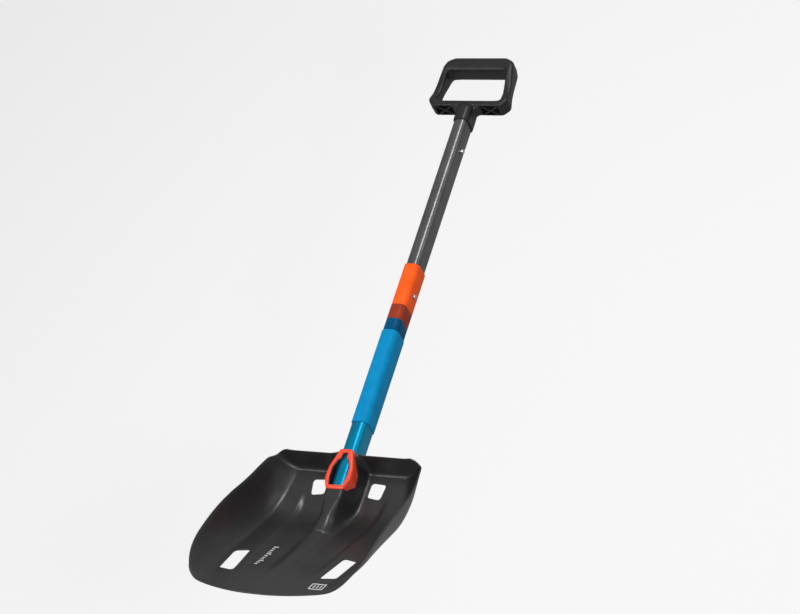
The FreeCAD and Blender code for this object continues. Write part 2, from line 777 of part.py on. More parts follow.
def build_lock_spring():
    """Compression spring across the outer tube, drawn as its outer shape."""
    spring = doc.addObject("Part::Cylinder", "blade_lock_spring")
    spring.Label = "blade_lock_spring"
    bottom = dim("lower_half_z") - WALL - FLANGE_GAP - 0.05 - dim("button_flange_thick")
    top = dim("lower_half_z") - WALL - 0.05
    bind(spring, "Radius", dim("lock_spring_radius"))
    bind(spring, "Height", bottom + top)
    base = (Size(0.0), LOCK_Y, AXIS - bottom)
    spring.Placement = Placement(Vector(*[b.value for b in base]), Rotation())
    for name, place in zip("xyz", base):
        spring.setExpression(f"Placement.Base.{name}", place.text)
    return spring


# ---- the handle --------------------------------------------------------------------------


def rib_triangles(near, far, half):
    """Four triangular pockets that leave an X of ribs between them."""
    rib = 1.3
    cx = (near + far) * 0.5
    return [
        [(near + 2 * rib, half), (far - 2 * rib, half), (cx, rib)],
        [(near + 2 * rib, -half), (cx, -rib), (far - 2 * rib, -half)],
        [(near, half - rib), (cx - 2 * rib, 0.0), (near, rib - half)],
        [(far, half - rib), (far, rib - half), (cx + 2 * rib, 0.0)],
    ]


def build_handle():
    """D-grip: bottom bar, two side bars, a deep grip bar on top, and a collar on the tube."""
    foot, top = dim("handle_foot"), dim("handle_top")
    bar, grip = dim("bottom_bar"), dim("grip_bar")
    wide, narrow = dim("handle_foot_half"), dim("handle_head_half")
    body = new_body("handle", 0.0, 0.0, AXIS)
    grip_half = dim("grip_half_depth")
    # outline
    shoulder = [(narrow, top - 18.0), (narrow - 4.5, top - 6.0), (narrow - 16.0, top)]
    right = [(wide - 9.0, foot), (wide, foot + 11.0)] + shoulder
    left = [(-x, y) for x, y in reversed(right)]
    sketch = new_sketch(body, "XY_Plane")
    draw_polygon(sketch, right + left)
    extrude(body, "Pad", sketch, grip_half * 2, middle=True)
    # hand opening
    side = dim("handle_side")
    inner = [(wide - side, foot + bar), (narrow - side + 1.0, top - grip)]
    sketch = new_sketch(body, "XY_Plane")
    draw_polygon(sketch, inner + [(-x, y) for x, y in reversed(inner)])
    extrude(body, "Pocket", sketch, THROUGH, middle=True)

    def shoulder_edges(edge):
        box = edge.BoundBox
        return box.ZLength > 1.0 and box.YMin > (top - grip).value + 1.0

    def grip_edges(edge):
        box = edge.BoundBox
        return box.ZLength < 0.01 and box.YMax > (top - grip).value + 1.0

    round_edges(body, 11.0, shoulder_edges)
    round_edges(body, 5.0, grip_edges)
    # the bars below the grip bar are shallower, front and back
    low, slim = dim("foot_half_depth"), dim("side_half_depth")
    for turn in (1.0, -1.0):
        sketch = new_sketch(body, "YZ_Plane")
        draw_polygon(
            sketch,
            [
                (foot - 5.0, low * turn),
                (foot + 16.0, low * turn),
                (foot + 26.0, slim * turn),
                (top - grip - 34.0, slim * turn),
                (top - grip, (grip_half - 0.8) * turn),
                (top - grip, (grip_half + 5.0) * turn),
                (foot - 5.0, (grip_half + 5.0) * turn),
            ],
        )
        extrude(body, "Pocket", sketch, THROUGH * 3, middle=True)
    # collar
    collar_foot = dim("collar_foot")
    socket = grown(UPPER, 0.1)
    sketch = new_sketch(body, "XZ_Plane", -collar_foot)
    draw_rounded_rectangle(sketch, *grown(socket, dim("collar_wall")))
    extrude(body, "Pad", sketch, foot + bar - 1.5 - collar_foot, reverse=True)
    # webs from the collar's sides to the bottom bar
    sketch = new_sketch(body, "XY_Plane")
    web = [(12.0, foot - 13.0), (14.5, foot - 5.5), (22.0, foot + 1.0)]
    draw_polygon(sketch, web + [(-x, y) for x, y in reversed(web)])
    extrude(body, "Pad", sketch, (low - 2.0) * 2, middle=True)
    sketch = new_sketch(body, "XZ_Plane", -collar_foot)
    draw_rounded_rectangle(sketch, *socket)
    extrude(body, "Pocket", sketch, dim("upper_head") + 0.1 - collar_foot)
    # the collar runs down into the bottom bar, front and back
    for turn in (1.0, -1.0):
        sketch = new_sketch(body, "YZ_Plane")
        draw_polygon(
            sketch,
            [
                (foot - 5.0, 18.7 * turn),
                (foot + bar, low * turn),
                (foot + bar, (grip_half + 5.0) * turn),
                (foot - 5.0, (grip_half + 5.0) * turn),
            ],
        )
        extrude(body, "Pocket", sketch, THROUGH, middle=True)
    # ribbed pockets under the bottom bar
    sketch = new_sketch(body, "XZ_Plane", -foot)
    inside = as_size(22.5)
    outside = wide - 13.0
    for triangle in rib_triangles(inside, outside, low - 2.2):
        draw_polygon(sketch, triangle)
        draw_polygon(sketch, [(-as_size(x), z) for x, z in triangle])
    extrude(body, "Pocket", sketch, dim("rib_pocket_depth"))
    # cross pin hole
    sketch = new_sketch(body, "YZ_Plane")
    draw_circle(sketch, dim("pin_y"), 0.0, dim("pin_radius") + 0.05)
    extrude(body, "Pocket", sketch, THROUGH, middle=True)
    return body


def build_handle_pin():
    """Cross pin through the collar and the tube."""
    half = dim("upper_half_x") + 0.1 + dim("collar_wall") - 0.3
    body = new_body("handle_pin", 0.0, dim("pin_y"), AXIS)
    sketch = new_sketch(body, "YZ_Plane")
    draw_circle(sketch, 0.0, 0.0, dim("pin_radius"))
    extrude(body, "Pad", sketch, half * 2, middle=True)
    return body


# ---- the whole shovel --------------------------------------------------------------------

film = dim("film")
mouth = dim("lower_mouth")
pieces = [
    build_scoop(),
    build_socket(),
    build_bezel(),
    build_bezel_screw("bezel_screw_left", -1.0),
    build_bezel_screw("bezel_screw_right", 1.0),
    build_lower_tube(),
    build_sleeve("collar_sleeve", dim("band_orange"), mouth, film, dim("extension_y")),
    build_sleeve("red_band", dim("band_red"), dim("band_orange"), film),
    build_sleeve("blue_band", dim("band_blue"), dim("band_red"), film),
    build_sleeve("grip_sleeve", dim("grip_end"), dim("band_blue"), dim("grip_wall")),
    build_lock_spring(),
    build_lock_button(),
    build_side_button("extension_button", dim("extension_y")),
    build_side_button("stowage_button", dim("stowage_y")),
    build_upper_tube(),
    build_end_plug(),
    build_leaf_spring("extension_spring", dim("extension_y"), 1.0),
    build_leaf_spring("stowage_spring", dim("stowage_y"), -1.0),
    build_handle(),
    build_handle_pin(),
]
doc.recompute()

for thing in doc.Objects:
    if "Invalid" in thing.State or "Error" in thing.State:
        raise RuntimeError(f"{thing.Name} is {thing.State}")
for piece in pieces:
    if piece.Shape.isNull() or not piece.Shape.isValid() or len(piece.Shape.Solids) != 1:
        raise RuntimeError(f"{piece.Label} has no valid single solid")

os.makedirs("parts", exist_ok=True)
for piece in pieces:
    piece.Shape.exportStep(f"parts/{piece.Label}.step")
    box = piece.Shape.BoundBox
    print(
        f"{piece.Label:20s} x {box.XMin:8.2f} {box.XMax:8.2f}  y {box.YMin:8.2f} {box.YMax:8.2f}"
        f"  z {box.ZMin:8.2f} {box.ZMax:8.2f}  volume {piece.Shape.Volume:10.1f}"
    )
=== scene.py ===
import math

import bmesh
import bpy
import numpy as np
from mathutils import Matrix, Vector
from mathutils.geometry import delaunay_2d_cdt


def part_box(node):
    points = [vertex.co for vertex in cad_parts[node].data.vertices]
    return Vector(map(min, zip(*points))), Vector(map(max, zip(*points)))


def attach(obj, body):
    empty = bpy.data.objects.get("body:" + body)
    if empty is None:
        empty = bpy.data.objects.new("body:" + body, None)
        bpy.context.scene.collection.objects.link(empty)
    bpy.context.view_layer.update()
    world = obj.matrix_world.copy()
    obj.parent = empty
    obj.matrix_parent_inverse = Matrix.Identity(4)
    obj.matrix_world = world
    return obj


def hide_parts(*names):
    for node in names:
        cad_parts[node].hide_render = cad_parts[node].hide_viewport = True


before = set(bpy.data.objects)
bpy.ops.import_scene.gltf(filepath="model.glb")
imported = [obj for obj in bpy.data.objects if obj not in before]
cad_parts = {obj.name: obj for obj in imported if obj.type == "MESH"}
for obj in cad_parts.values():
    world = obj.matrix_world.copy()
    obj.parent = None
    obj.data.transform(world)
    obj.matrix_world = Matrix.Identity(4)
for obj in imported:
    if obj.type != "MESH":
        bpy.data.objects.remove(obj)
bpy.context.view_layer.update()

# The shovel lies on its back: +Y runs along the shaft from the scoop to the handle, +X is its
# right side and +Z points out of the scoop's hollow. Lengths here are millimetres, counted
# along Y from the row's origin and up from the shaft's axis, and place() turns them to metres.

MM = 0.001


def cad(node):
    """Lowest and highest corner of a CAD node in millimetres, heights from the shaft's axis."""
    low, high = (np.array(corner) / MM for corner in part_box(node))
    low[2] -= AXIS
    high[2] -= AXIS
    return low, high


AXIS = float(sum(corner[2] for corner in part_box("upper_tube")) / 2 / MM)

UPPER_LOW, UPPER_HIGH = cad("upper_tube")
LOWER_LOW, LOWER_HIGH = cad("lower_tube")
BLADE_HIGH = cad("blade")[1]
BEZEL_LOW, BEZEL_HIGH = cad("window_bezel")
HANDLE_LOW, HANDLE_HIGH = cad("handle")
HANDLE_TOP = HANDLE_HIGH[1]
PIN_Y = sum(corner[1] for corner in cad("handle_pin")) / 2

UPPER = (UPPER_HIGH[0], UPPER_HIGH[2], 7.0)  # half width, half height, corner radius
LOWER = (LOWER_HIGH[0], LOWER_HIGH[2], 8.6)
TUBE_WALL = 1.4
BUTTON_RADIUS = 3.8
BUTTON_HOLE = BUTTON_RADIUS + 0.2


# ---- meshes ------------------------------------------------------------------------------


def place(points):
    """Points in millimetres over the shaft's axis, as metres in the row's frame."""
    points = np.asarray(points, float)
    return (points + (0.0, 0.0, AXIS)) * MM


def new_piece(name, points, faces, smooth_angle=35.0):
    """A mesh object from points in millimetres, smooth where its faces meet gently."""
    mesh = bpy.data.meshes.new(name)
    mesh.from_pydata([tuple(p) for p in place(points)], [], [tuple(f) for f in faces])
    mesh.validate()
    piece = bpy.data.objects.new(name, mesh)
    bpy.context.collection.objects.link(piece)
    tidy_normals(piece, smooth_angle)
    return piece


def tidy_normals(piece, smooth_angle=35.0):
    """Outward faces, smooth shading, and sharp edges where faces meet at a wide angle."""
    form = bmesh.new()
    form.from_mesh(piece.data)
    bmesh.ops.remove_doubles(form, verts=form.verts, dist=1e-7)
    bmesh.ops.recalc_face_normals(form, faces=form.faces)
    limit = math.radians(smooth_angle)
    for face in form.faces:
        face.smooth = True
    for edge in form.edges:
        edge.smooth = not (len(edge.link_faces) == 2 and edge.calc_face_angle(0.0) > limit)
    form.to_mesh(piece.data)
    form.free()


def bake_modifiers(piece):
    """Replace the piece's mesh with what its modifiers make of it."""
    bpy.context.view_layer.update()
    done = piece.evaluated_get(bpy.context.evaluated_depsgraph_get())
    mesh = bpy.data.meshes.new_from_object(done)
    piece.modifiers.clear()
    piece.data = mesh


def cut(piece, *tools, operation="DIFFERENCE"):
    """Boolean the tools with the piece and delete them."""
    for tool in tools:
        step = piece.modifiers.new("cut", "BOOLEAN")
        step.operation = operation
        step.solver = "EXACT"
        step.object = tool
        bake_modifiers(piece)
        bpy.data.objects.remove(tool)
    tidy_normals(piece)


def bevel(piece, width, segments, angle):
    """Round the edges that are sharper than an angle."""
    step = piece.modifiers.new("bevel", "BEVEL")
    step.width = width * MM
    step.segments = segments
    step.limit_method = "ANGLE"
    step.angle_limit = math.radians(angle)
    bake_modifiers(piece)
    tidy_normals(piece, 40.0)


def rounded_rectangle(half_width, half_height, corner, steps=10):
    """Points round a rectangle with arcs for corners, anticlockwise."""
    corner = min(corner, half_width - 0.05, half_height - 0.05)
    points = []
    for turn in range(4):
        middle = math.pi / 4 + turn * math.pi / 2
        side = (math.copysign(1, math.cos(middle)), math.copysign(1, math.sin(middle)))
        centre = (side[0] * (half_width - corner), side[1] * (half_height - corner))
        for step in range(steps + 1):
            angle = turn * math.pi / 2 + step / steps * math.pi / 2
            points.append((centre[0] + corner * math.cos(angle), centre[1] + corner * math.sin(angle)))
    return points


def bridge(loops, closed=False):
    """Points and quads of a skin over rings that have the same number of points."""
    count = len(loops[0])
    points = [point for loop in loops for point in loop]
    faces = []
    pairs = list(zip(range(len(loops)), range(1, len(loops))))
    if closed:
        pairs.append((len(loops) - 1, 0))
    for here, there in pairs:
        for n in range(count):
            on = (n + 1) % count
            faces.append((here * count + n, here * count + on, there * count + on, there * count + n))
    return points, faces


def ring_along(y, section):
    """A section (half width, half height, corner) as a ring of points at y."""
    return [(x, y, z) for x, z in rounded_rectangle(*section)]


def grown(section, by):
    return tuple(max(size + by, 0.2) for size in section)


def sleeve(name, foot, head, outer, inner, edge=0.35):
    """A hollow sleeve along the shaft with rounded end edges."""
    loops = [
        ring_along(foot, inner),
        ring_along(foot, grown(outer, -edge)),
        ring_along(foot + edge * 0.3, grown(outer, -edge * 0.3)),
        ring_along(foot + edge, outer),
    ]
    length = head - foot
    count = max(int(length / 6.0), 2)
    for step in range(1, count):
        loops.append(ring_along(foot + length * step / count, outer))
    loops += [
        ring_along(head - edge, outer),
        ring_along(head - edge * 0.3, grown(outer, -edge * 0.3)),
        ring_along(head, grown(outer, -edge)),
        ring_along(head, inner),
    ]
    points, faces = bridge(loops, closed=True)
    return new_piece(name, points, faces, 50.0)


def plug(name, centre, direction, radius, length, sides=40):
    """A plain cylinder, for cutting."""
    axis = Vector(direction).normalized()
    form = bmesh.new()
    bmesh.ops.create_cone(
        form, cap_ends=True, segments=sides, radius1=radius * MM, radius2=radius * MM, depth=length * MM
    )
    turn = axis.to_track_quat("Z", "Y").to_matrix().to_4x4()
    form.transform(Matrix.Translation(Vector(place([centre])[0])) @ turn)
    mesh = bpy.data.meshes.new(name)
    form.to_mesh(mesh)
    form.free()
    piece = bpy.data.objects.new(name, mesh)
    bpy.context.collection.objects.link(piece)
    return piece


def block(name, low, high):
    """A plain box, for cutting."""
    corners = [(x, y, z) for x in (low[0], high[0]) for y in (low[1], high[1]) for z in (low[2], high[2])]
    faces = [(0, 1, 3, 2), (4, 6, 7, 5), (0, 4, 5, 1), (2, 3, 7, 6), (0, 2, 6, 4), (1, 5, 7, 3)]
    return new_piece(name, corners, faces)


def prism(outline, y_low, y_high):
    """An outline in X and Z, extruded along Y."""
    count = len(outline)
    points = [(x, y, z) for y in (y_low, y_high) for x, z in outline]
    faces = [(n, (n + 1) % count, count + (n + 1) % count, count + n) for n in range(count)]
    faces += [tuple(range(count)), tuple(range(count, 2 * count))]
    return new_piece("prism", points, faces)


def lathe(name, profile, centre, direction, sides=48):
    """Turn a profile of (radius, along) about an axis; the first and last radii are 0."""
    axis = Vector(direction).normalized()
    turn = axis.to_track_quat("Z", "Y").to_matrix()
    points, faces = [], []
    inner = profile[1:-1]
    for radius, along in inner:
        for n in range(sides):
            angle = 2 * math.pi * n / sides
            spot = Vector((radius * math.cos(angle), radius * math.sin(angle), along))
            points.append(Vector(centre) + turn @ spot)
    for row in range(len(inner) - 1):
        for n in range(sides):
            on = (n + 1) % sides
            here, there = row * sides, (row + 1) * sides
            faces.append((here + n, here + on, there + on, there + n))
    for along, row in ((profile[0][1], 0), (profile[-1][1], len(inner) - 1)):
        points.append(Vector(centre) + axis * along)
        for n in range(sides):
            faces.append((row * sides + n, row * sides + (n + 1) % sides, len(points) - 1))
    return new_piece(name, points, faces, 30.0)


# ---- materials: noise scales are per metre, bump heights are metres ----------------------


class Finish:
    """A node material, built up step by step."""

    def __init__(self, name, color, metallic, roughness, **sockets):
        self.material = bpy.data.materials.new(name)
        self.material.use_nodes = True
        self.nodes = self.material.node_tree.nodes
        self.links = self.material.node_tree.links
        self.shader = self.nodes["Principled BSDF"]
        self.set("Base Color", (*color, 1.0))
        self.set("Metallic", metallic)
        self.set("Roughness", roughness)
        for socket, value in sockets.items():
            self.set(socket.replace("_", " "), value)
        self.color, self.rough = color, roughness
        self.coords = self.nodes.new("ShaderNodeTexCoord").outputs["Object"]
        self.normal = None

    def set(self, socket, value):
        self.shader.inputs[socket].default_value = value

    def stretched(self, scale):
        """Object coordinates, scaled per axis."""
        mapping = self.nodes.new("ShaderNodeMapping")
        mapping.inputs["Scale"].default_value = scale
        self.links.new(self.coords, mapping.inputs["Vector"])
        return mapping.outputs["Vector"]

    def noise(self, scale, detail, stretch=(1, 1, 1)):
        node = self.nodes.new("ShaderNodeTexNoise")
        node.inputs["Scale"].default_value = scale
        node.inputs["Detail"].default_value = detail
        node.inputs["Roughness"].default_value = 0.55
        self.links.new(self.stretched(stretch), node.inputs["Vector"])
        return node.outputs["Fac"]

    def ramp(self, value, low, high, start=0.3, end=0.7):
        """Map a 0 to 1 value to a range."""
        node = self.nodes.new("ShaderNodeMapRange")
        node.inputs["From Min"].default_value = start
        node.inputs["From Max"].default_value = end
        node.inputs["To Min"].default_value = low
        node.inputs["To Max"].default_value = high
        self.links.new(value, node.inputs["Value"])
        return node.outputs["Result"]

    def vary_roughness(self, value, spread):
        result = self.ramp(value, self.rough - spread, self.rough + spread)
        self.links.new(result, self.shader.inputs["Roughness"])

    def vary_color(self, value, other):
        """Blend the base colour towards another by a 0 to 1 value."""
        mix = self.nodes.new("ShaderNodeMix")
        mix.data_type = "RGBA"
        mix.inputs["A"].default_value = (*self.color, 1.0)
        mix.inputs["B"].default_value = (*other, 1.0)
        self.links.new(self.ramp(value, 0.0, 1.0, 0.35, 0.65), mix.inputs["Factor"])
        self.links.new(mix.outputs["Result"], self.shader.inputs["Base Color"])

    def bump(self, value, height):
        """Raise the surface by a 0 to 1 value. Calls add up."""
        node = self.nodes.new("ShaderNodeBump")
        node.inputs["Strength"].default_value = 1.0
        node.inputs["Distance"].default_value = height
        self.links.new(value, node.inputs["Height"])
        if self.normal is not None:
            self.links.new(self.normal, node.inputs["Normal"])
        self.normal = node.outputs["Normal"]
        self.links.new(self.normal, self.shader.inputs["Normal"])

    def on(self, piece):
        piece.data.materials.clear()
        piece.data.materials.append(self.material)


def linear(red, green, blue):
    """A colour given as 0 to 255 screen values, in linear light."""
    def one(value):
        value = value / 255
        return value / 12.92 if value <= 0.04045 else ((value + 0.055) / 1.055) ** 2.4

    return one(red), one(green), one(blue)


DRAWN = (1, 0.03, 1)  # grain drawn out along the shaft


def anodised(name, color, metallic, roughness, darker, grain=(1, 1, 1)):
    """Anodised metal: even colour with a faint cloud, and a fine drawn grain."""
    finish = Finish(name, color, metallic, roughness)
    cloud = finish.noise(38, 3)
    finish.vary_color(cloud, darker)
    finish.vary_roughness(finish.noise(2600, 2, grain), 0.01)
    finish.bump(finish.noise(3000, 2, grain), 0.0000004)
    return finish


def make_finishes():
    finishes = {}
    blade = anodised("blade_black", linear(29, 29, 30), 0.0, 0.36, linear(23, 23, 24))
    blade.set("Specular IOR Level", 0.8)
    blade.bump(blade.noise(5200, 2), 0.000004)
    finishes["blade"] = blade
    finishes["upper"] = anodised(
        "tube_grey", linear(112, 112, 113), 0.9, 0.34, linear(100, 100, 102), DRAWN
    )
    finishes["lower"] = anodised(
        "tube_turquoise", linear(20, 158, 200), 0.9, 0.36, linear(14, 144, 186), DRAWN
    )
    for name, color, darker, rough in (
        ("film_orange", (244, 96, 34), (238, 86, 26), 0.42),
        ("film_red", (150, 58, 34), (138, 50, 30), 0.32),
        ("film_blue", (0, 76, 116), (0, 68, 104), 0.3),
    ):
        film = Finish(name, linear(*color), 0.0, rough, Specular_IOR_Level=0.08)
        film.vary_color(film.noise(60, 3), linear(*darker))
        film.vary_roughness(film.noise(700, 3), 0.05)
        film.bump(film.noise(1100, 3), 0.000008)
        finishes[name] = film
    grip = Finish("grip_blue", linear(0, 134, 186), 0.0, 0.5, Specular_IOR_Level=0.1)
    grip.vary_color(grip.noise(70, 3), linear(0, 126, 178))
    grip.vary_roughness(grip.noise(800, 3), 0.06)
    pebble = grip.nodes.new("ShaderNodeTexVoronoi")
    pebble.inputs["Scale"].default_value = 1150
    grip.links.new(grip.coords, pebble.inputs["Vector"])
    grip.bump(grip.ramp(pebble.outputs["Distance"], 1.0, 0.0, 0.05, 0.6), 0.00008)
    finishes["grip"] = grip
    bezel = Finish("bezel_coral", linear(238, 76, 44), 0.0, 0.33, Specular_IOR_Level=0.5)
    bezel.vary_color(bezel.noise(120, 3), linear(230, 70, 40))
    bezel.vary_roughness(bezel.noise(900, 3), 0.05)
    bezel.bump(bezel.noise(1500, 3), 0.00002)
    finishes["bezel"] = bezel
    handle = Finish("handle_black", linear(27, 27, 28), 0.0, 0.4, Specular_IOR_Level=0.4)
    handle.vary_color(handle.noise(80, 3), linear(21, 21, 22))
    handle.vary_roughness(handle.noise(600, 4), 0.06)
    handle.bump(handle.noise(2600, 3), 0.00003)
    finishes["handle"] = handle
    steel = Finish("button_steel", linear(200, 202, 205), 1.0, 0.16)
    steel.vary_roughness(steel.noise(900, 3), 0.05)
    steel.bump(steel.noise(1500, 2), 0.000008)
    finishes["steel"] = steel
    spring = Finish("spring_steel", linear(150, 152, 156), 1.0, 0.34)
    spring.vary_roughness(spring.noise(900, 3), 0.08)
    finishes["spring"] = spring
    screw = Finish("screw_black", linear(52, 52, 54), 0.8, 0.38)
    screw.vary_roughness(screw.noise(1200, 3), 0.08)
    finishes["screw"] = screw
    socket = Finish("socket_black", linear(34, 34, 36), 0.0, 0.5)
    socket.vary_roughness(socket.noise(700, 3), 0.06)
    socket.bump(socket.noise(2200, 3), 0.00003)
    finishes["socket"] = socket
    mark = Finish("mark_white", linear(222, 222, 224), 0.0, 0.55)
    mark.vary_roughness(mark.noise(1500, 3), 0.08)
    mark.vary_color(mark.noise(900, 3), linear(206, 206, 208))
    finishes["mark"] = mark
    return finishes


# ---- the scoop: "ahead" is the distance from its rear edge towards the front --------------

REAR_EDGE = BLADE_HIGH[1]
LENGTH = 287.0
HALF_WIDTH = 130.0
SHEET = 1.8
RIM_WIDEST = (125.0, 190.0)  # stretch of the rim that is at full width
REAR_NARROWING = 16.5
FRONT_NARROWING = 12.0  # reached FRONT_RUN ahead of the widest stretch
FRONT_RUN = 54.0
EDGE_ROUNDING = 0.45
RIM_LEAN = 12  # how far in from the rim the sheet leans inwards
SOFT = 0.4  # easing of broad bends


def eased(x, ease=0.16):
    """0 below 0, 1 above 1, a straight ramp between with rounded ends."""
    x = np.clip(x, 0.0, 1.0)
    slope = 1.0 / (1.0 - ease)
    start = slope * x * x / (2 * ease)
    end = 1 - slope * (1 - x) ** 2 / (2 * ease)
    return np.where(x < ease, start, np.where(x > 1 - ease, end, slope * (x - ease / 2)))


def floor_line(ahead):
    """Height of the scoop's floor over the axis: flat, a bend, then a straight rise."""
    radius, run, drop, flat = 118.0, 70.0, 14.0, 43.0
    past = np.maximum(ahead - flat, 0)
    bend = np.minimum(past, run)
    rise = radius - np.sqrt(radius**2 - bend**2)
    return -drop + rise + run / math.sqrt(radius**2 - run**2) * np.maximum(past - run, 0)


def rim_line(ahead):
    """Half width of the rim."""
    start, end = RIM_WIDEST
    rear = REAR_NARROWING * (np.maximum(start - ahead, 0) / start) ** 2
    front = FRONT_NARROWING * (np.maximum(ahead - end, 0) / FRONT_RUN) ** 2
    return HALF_WIDTH - rear - front


def rib_foot(ahead):
    """Half width of the rib at its foot."""
    return RIB_BASE - RIB_NARROWING * np.clip((ahead - 50) / 165, 0, 1)


def panel_edge(ahead):
    """Where the sunk panels end, from the middle."""
    return PANEL_EDGE - PANEL_NARROWING * (ahead - PANEL_START) / PANEL_RUN


def panel_step(ahead):
    """Width of the slope at the panels' edge."""
    return 10.0 - 4.0 * np.clip((ahead - PANEL_START) / PANEL_RUN, 0, 1)


RIB_CREST = 11.0
RIB_RISE = 22.0
RIB_BASE = 27.5  # half width at the foot over the socket
RIB_NARROWING = 6.5
RIB_SOFTNESS = 14.0
RIDGE = 3.5  # height of the low ridge ahead of the socket
PANEL_DEPTH = 3.5
PANEL_EDGE = 68.0
PANEL_NARROWING = 11.5
PANEL_START = 62
PANEL_RUN = 157
WALL_RUN = 36.0  # how far in from the rim the side walls start to rise
WALL_PEAK = 63.0
WALL_PEAK_AT = 100.0
WALL_FADE = 175.0  # from the peak to where the side walls have run out
WALL_REAR_LOSS = 36.0  # how much lower the side walls are at the rear edge
REAR_RUN = 15.0
REAR_RISE = 34.0
CORNER_POWER = 2.6  # how tightly side and rear walls meet: 2 is an ellipse, more is squarer


def scoop_height(x, ahead):
    """Upper surface of the scoop over the shaft's axis."""
    x = np.abs(x)
    ends = eased((ahead - 40) / 45, SOFT) * eased((240 - ahead) / 50, SOFT)
    sink = PANEL_DEPTH * eased((panel_edge(ahead) - x) / panel_step(ahead), SOFT) * ends
    floor = floor_line(ahead)
    past_peak = (ahead - WALL_PEAK_AT) / WALL_FADE
    side_height = np.where(
        past_peak < 0,
        WALL_PEAK - WALL_REAR_LOSS * (np.maximum(WALL_PEAK_AT - ahead, 0) / WALL_PEAK_AT) ** 1.3,
        WALL_PEAK * np.maximum(1 - np.maximum(past_peak, 0) ** 1.7, 0.0),
    )
    side = np.maximum(1 - (rim_line(ahead) - x) / WALL_RUN, 0.0)
    rear = np.maximum(1 - ahead / REAR_RUN, 0.0)
    reach = (side**CORNER_POWER + rear**CORNER_POWER) ** (1 / CORNER_POWER)
    share = (rear / np.maximum(reach, 1e-9)) ** CORNER_POWER
    top = share * REAR_RISE + (1 - share) * side_height
    walls = top * reach ** (1.75 - 0.15 * share)
    ridge = RIDGE * eased((262 - ahead) / 70, SOFT) * eased((ahead - 75) / 50, SOFT)
    level = RIB_RISE - floor
    softness = RIB_SOFTNESS * eased((ahead - 75) / 60, SOFT)
    rib = np.hypot((level + np.hypot(level, softness)) / 2, ridge)
    rib = rib + sink * np.where(ahead < 130, 1.0, 0.4)
    foot = rib_foot(ahead)
    past_socket = np.clip((ahead - 72) / 30, 0, 1)
    crest = eased((foot - x) / (foot - RIB_CREST + 8.0 * past_socket), 0.16 + 0.3 * past_socket)
    return floor - sink + crest * rib + (1 - crest) * walls


def scoop_normal(x, ahead):
    """Unit normals of the upper surface, in the row's axes."""
    step = 0.25
    dx = (scoop_height(x + step, ahead) - scoop_height(x - step, ahead)) / (2 * step)
    da = (scoop_height(x, ahead + step) - scoop_height(x, ahead - step)) / (2 * step)
    normal = np.stack([-dx, da, np.ones_like(dx)], axis=-1)
    return normal / np.linalg.norm(normal, axis=-1, keepdims=True)


def arc_through(start, middle, end, spacing):
    """Points along the circle arc through three points, without the last."""
    (ax, ay), (bx, by), (cx, cy) = start, middle, end
    d = 2 * (ax * (by - cy) + bx * (cy - ay) + cx * (ay - by))
    a2, b2, c2 = ax * ax + ay * ay, bx * bx + by * by, cx * cx + cy * cy
    ux = (a2 * (by - cy) + b2 * (cy - ay) + c2 * (ay - by)) / d
    uy = (a2 * (cx - bx) + b2 * (ax - cx) + c2 * (bx - ax)) / d
    radius = math.hypot(ax - ux, ay - uy)
    first = math.atan2(ay - uy, ax - ux)
    mid = (math.atan2(by - uy, bx - ux) - first) % (2 * math.pi)
    turn = (math.atan2(cy - uy, cx - ux) - first) % (2 * math.pi)
    if mid > turn:
        turn -= 2 * math.pi
    count = max(int(abs(turn) * radius / spacing), 2)
    angles = [first + turn * n / count for n in range(count)]
    return [(ux + radius * math.cos(t), uy + radius * math.sin(t)) for t in angles]


def line_to(start, end, spacing):
    """Points along a straight line, without the last."""
    count = max(int(math.dist(start, end) / spacing), 1)
    return [
        (start[0] + (end[0] - start[0]) * n / count, start[1] + (end[1] - start[1]) * n / count)
        for n in range(count)
    ]


REAR_CORNER = (93.0, 1.0)
REAR_ROUNDING = (109.6, 7.0)
FRONT_ROUNDING = (106.5, 262.5)
FRONT_CORNER = (88.0, 272.5)


def scoop_outline(spacing=1.6):
    """The scoop's outline as (x, ahead), once round."""
    right = line_to((0.0, 0.9), REAR_CORNER, spacing)
    turn, middle = (float(rim_line(22)), 22.0), RIM_WIDEST[0]
    right += arc_through(REAR_CORNER, REAR_ROUNDING, turn, spacing)
    right += arc_through(turn, (float(rim_line(72)), 72.0), (HALF_WIDTH, middle), spacing)
    right += line_to((HALF_WIDTH, middle), (HALF_WIDTH, RIM_WIDEST[1]), spacing)
    corner = (float(rim_line(246)), 246.0)
    right += arc_through((HALF_WIDTH, RIM_WIDEST[1]), (float(rim_line(222)), 222.0), corner, spacing)
    right += arc_through(corner, FRONT_ROUNDING, FRONT_CORNER, spacing)
    left_corner = (-FRONT_CORNER[0], FRONT_CORNER[1])
    front = arc_through(FRONT_CORNER, (0.0, LENGTH), left_corner, spacing)
    left = [(-x, ahead) for x, ahead in reversed(right[1:])]
    return right + front + [left_corner] + left


def rounded_polygon(corners, radius, spacing=1.2):
    """A convex outline with an arc at each corner."""
    arcs = []
    for n, here in enumerate(corners):
        here = Vector(here)
        back = (Vector(corners[n - 1]) - here).normalized()
        on = (Vector(corners[(n + 1) % len(corners)]) - here).normalized()
        half = back.angle(on) / 2
        reach = radius / math.tan(half)
        middle = here + (back + on).normalized() * (radius / math.sin(half) - radius)
        end = tuple(here + on * reach)
        arcs.append(arc_through(tuple(here + back * reach), tuple(middle), end, spacing) + [end])
    points = []
    for arc, following in zip(arcs, arcs[1:] + arcs[:1]):
        points += arc[:-1] + line_to(arc[-1], following[0], spacing)
    return points


